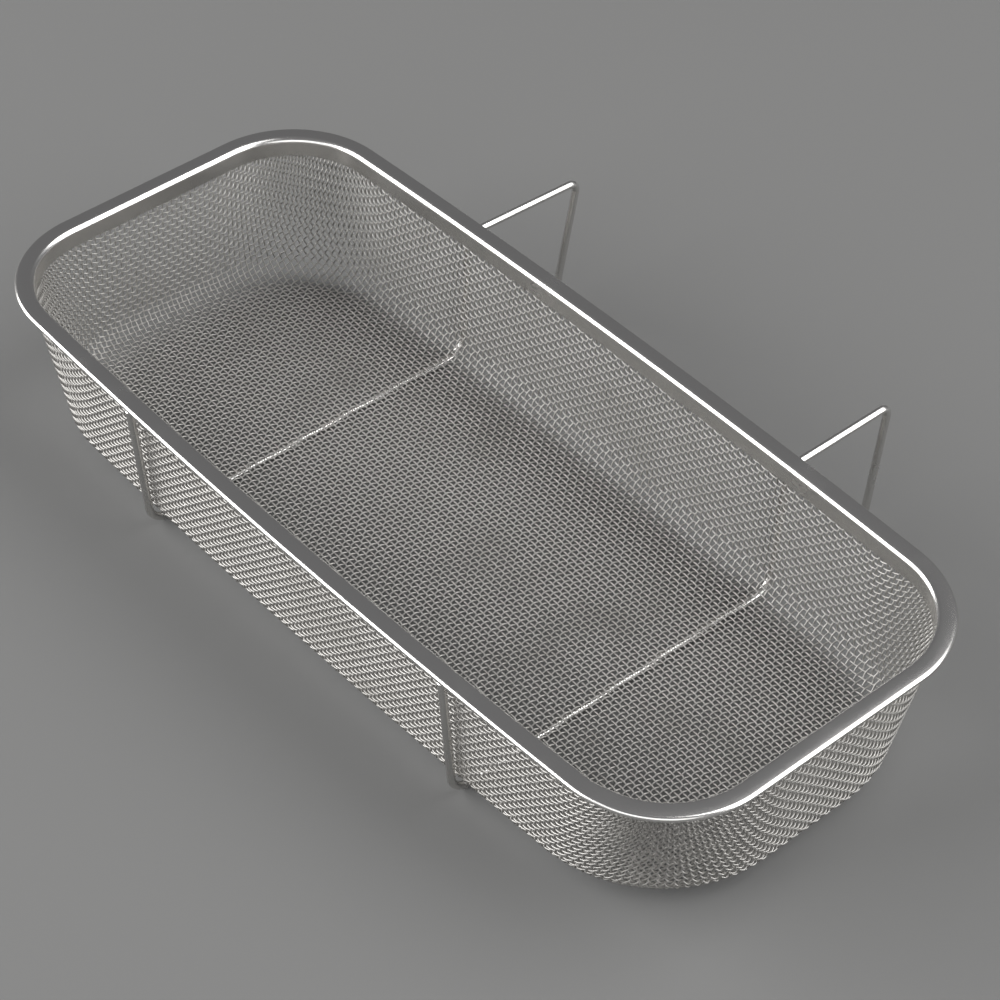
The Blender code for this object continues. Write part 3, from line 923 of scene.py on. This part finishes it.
# %% Helpers for nodes
def new_group(name, inputs, outputs):
    """Empty shader group with named sockets; inputs carry (name, socket type, default)."""
    group = bpy.data.node_groups.new(name, "ShaderNodeTree")
    for title, kind, default in inputs:
        socket = group.interface.new_socket(title, in_out="INPUT", socket_type=kind)
        if default is not None:
            socket.default_value = default
    for title, kind in outputs:
        group.interface.new_socket(title, in_out="OUTPUT", socket_type=kind)
    return group, group.nodes.new("NodeGroupInput"), group.nodes.new("NodeGroupOutput")


def add_node(tree, kind, inputs, **settings):
    """New node with its settings made, and each input fed with a plain value or another socket."""
    node = tree.nodes.new(kind)
    for title, value in settings.items():
        setattr(node, title, value)
    for title, value in inputs.items():
        if isinstance(value, bpy.types.NodeSocket):
            tree.links.new(value, node.inputs[title])
        else:
            node.inputs[title].default_value = value
    return node


def add_math(tree, operation, *values):
    """Result of a Math node whose inputs are fed in order."""
    return add_node(tree, "ShaderNodeMath", dict(enumerate(values)), operation=operation).outputs[0]


def add_noise(tree, vector, scale, detail, roughness=0.5):
    """Value of a Noise Texture node, between 0 and 1."""
    inputs = {"Vector": vector, "Scale": scale, "Detail": detail, "Roughness": roughness}
    return add_node(tree, "ShaderNodeTexNoise", inputs).outputs["Fac"]


print("node groups so far:", len(bpy.data.node_groups))

# %% Drawing lines
BROAD_BAND_SCALE = 0.15


def make_drawing_lines():
    """Noise stretched along the steel: the map's along axis is multiplied by a small number."""
    group, given, result = new_group(
        "drawing_lines",
        [("Map", "NodeSocketVector", None), ("Lines per metre", "NodeSocketFloat", 3000.0),
         ("Stretch", "NodeSocketFloat", 0.02)],
        [("Lines", "NodeSocketFloat"), ("Broad bands", "NodeSocketFloat")],
    )
    split = add_node(group, "ShaderNodeSeparateXYZ", {0: given.outputs["Map"]})
    along = add_math(group, "MULTIPLY", split.outputs["X"], given.outputs["Stretch"])
    join = add_node(group, "ShaderNodeCombineXYZ", {"X": along, "Y": split.outputs["Y"]})
    fine_scale = given.outputs["Lines per metre"]
    broad_scale = add_math(group, "MULTIPLY", fine_scale, BROAD_BAND_SCALE)
    fine = add_noise(group, join.outputs[0], fine_scale, detail=3.0)
    broad = add_noise(group, join.outputs[0], broad_scale, detail=2.0)
    group.links.new(fine, result.inputs["Lines"])
    group.links.new(broad, result.inputs["Broad bands"])
    return group


drawing_lines = make_drawing_lines()
print("group:", drawing_lines.name, "with", len(drawing_lines.nodes), "nodes")

# %% Smudges
SMUDGE_EDGE = 0.25


def make_smudges():
    """Cloudy noise cut to a mask: 0 on clean steel, 1 where it is dulled, smooth over the edge."""
    group, given, result = new_group(
        "smudges",
        [("Place", "NodeSocketVector", None), ("Smudges per metre", "NodeSocketFloat", 40.0),
         ("Cover", "NodeSocketFloat", 0.5)],
        [("Mask", "NodeSocketFloat")],
    )
    place, scale = given.outputs["Place"], given.outputs["Smudges per metre"]
    cloud = add_noise(group, place, scale, detail=4.0, roughness=0.6)
    edge = add_math(group, "SUBTRACT", 1.0, given.outputs["Cover"])
    top = add_math(group, "ADD", edge, SMUDGE_EDGE)
    inputs = {"Value": cloud, "From Min": edge, "From Max": top}
    cut = add_node(group, "ShaderNodeMapRange", inputs, interpolation_type="SMOOTHSTEP")
    group.links.new(cut.outputs["Result"], result.inputs["Mask"])
    return group


smudges = make_smudges()
print("group:", smudges.name, "with", len(smudges.nodes), "nodes")

# %% [markdown]
# ## The steels
#
# All three are bare stainless steel, so the base colour is the colour of the reflection.  The
# strip is the smoothest, the rods are drawn bright, and the cloth's wires are annealed, a little
# warmer and duller, and darker where the washing left its film.

# %% Steel material
BAND_SHARE = 0.45
FILM_SHARE = 0.6
GROOVE_STRENGTH = 0.5


def make_steel(name, clean, dull, roughness, lines, stretch, smudge_scale, cover, line_depth):
    """Principled metal whose colour and roughness move between two values with the marks' tone.

    Tone = broad bands * their share + smudges * their share, and the fine lines are grooves.
    """
    material = bpy.data.materials.new(name)
    material.use_nodes = True
    tree = material.node_tree
    steel_map = add_node(tree, "ShaderNodeUVMap", {}, uv_map="steel_map")
    place = add_node(tree, "ShaderNodeTexCoord", {})
    inputs = {"Map": steel_map.outputs["UV"], "Lines per metre": lines, "Stretch": stretch}
    marks = add_node(tree, "ShaderNodeGroup", inputs, node_tree=drawing_lines)
    inputs = {"Place": place.outputs["Object"], "Smudges per metre": smudge_scale, "Cover": cover}
    film = add_node(tree, "ShaderNodeGroup", inputs, node_tree=smudges)
    dulled = add_math(tree, "MULTIPLY", film.outputs["Mask"], FILM_SHARE)
    tone = add_math(tree, "MULTIPLY_ADD", marks.outputs["Broad bands"], BAND_SHARE, dulled)
    inputs = {"Factor": tone, "A": (*clean, 1.0), "B": (*dull, 1.0)}
    colour = add_node(tree, "ShaderNodeMix", inputs, data_type="RGBA")
    inputs = {"Value": tone, "To Min": roughness[0], "To Max": roughness[1]}
    gloss = add_node(tree, "ShaderNodeMapRange", inputs)
    inputs = {"Height": marks.outputs["Lines"], "Strength": GROOVE_STRENGTH, "Distance": line_depth}
    grooves = add_node(tree, "ShaderNodeBump", inputs)
    shader = tree.nodes["Principled BSDF"]
    shader.inputs["Metallic"].default_value = 1.0
    tree.links.new(colour.outputs["Result"], shader.inputs["Base Color"])
    tree.links.new(gloss.outputs["Result"], shader.inputs["Roughness"])
    tree.links.new(grooves.outputs["Normal"], shader.inputs["Normal"])
    return material


strip_steel = make_steel(
    "strip_steel",
    clean=(0.76, 0.75, 0.73),
    dull=(0.66, 0.65, 0.63),
    roughness=(0.21, 0.32),
    lines=3000.0,
    stretch=0.006,
    smudge_scale=45.0,
    cover=0.5,
    line_depth=0.0004 * MM,
)
print("strip:", strip_steel.name)

# %% Rod and cloth steel
rod_steel = make_steel(
    "rod_steel",
    clean=(0.70, 0.69, 0.67),
    dull=(0.58, 0.57, 0.55),
    roughness=(0.24, 0.36),
    lines=3000.0,
    stretch=0.02,
    smudge_scale=90.0,
    cover=0.45,
    line_depth=0.005 * MM,
)
woven_steel = make_steel(
    "woven_steel",
    clean=(0.43, 0.42, 0.405),
    dull=(0.33, 0.32, 0.30),
    roughness=(0.46, 0.64),
    lines=900.0,
    stretch=0.2,
    smudge_scale=30.0,
    cover=0.5,
    line_depth=0.01 * MM,
)
print("rods and cloth:", rod_steel.name, woven_steel.name)

# %% Dress the pieces
def dress(pieces, material):
    """Each piece's only material."""
    for piece in pieces:
        piece.data.materials.clear()
        piece.data.materials.append(material)


dress([folded_rim], strip_steel)
dress(rods, rod_steel)
dress(cloth, woven_steel)
print("materials:", [material.name for material in bpy.data.materials])
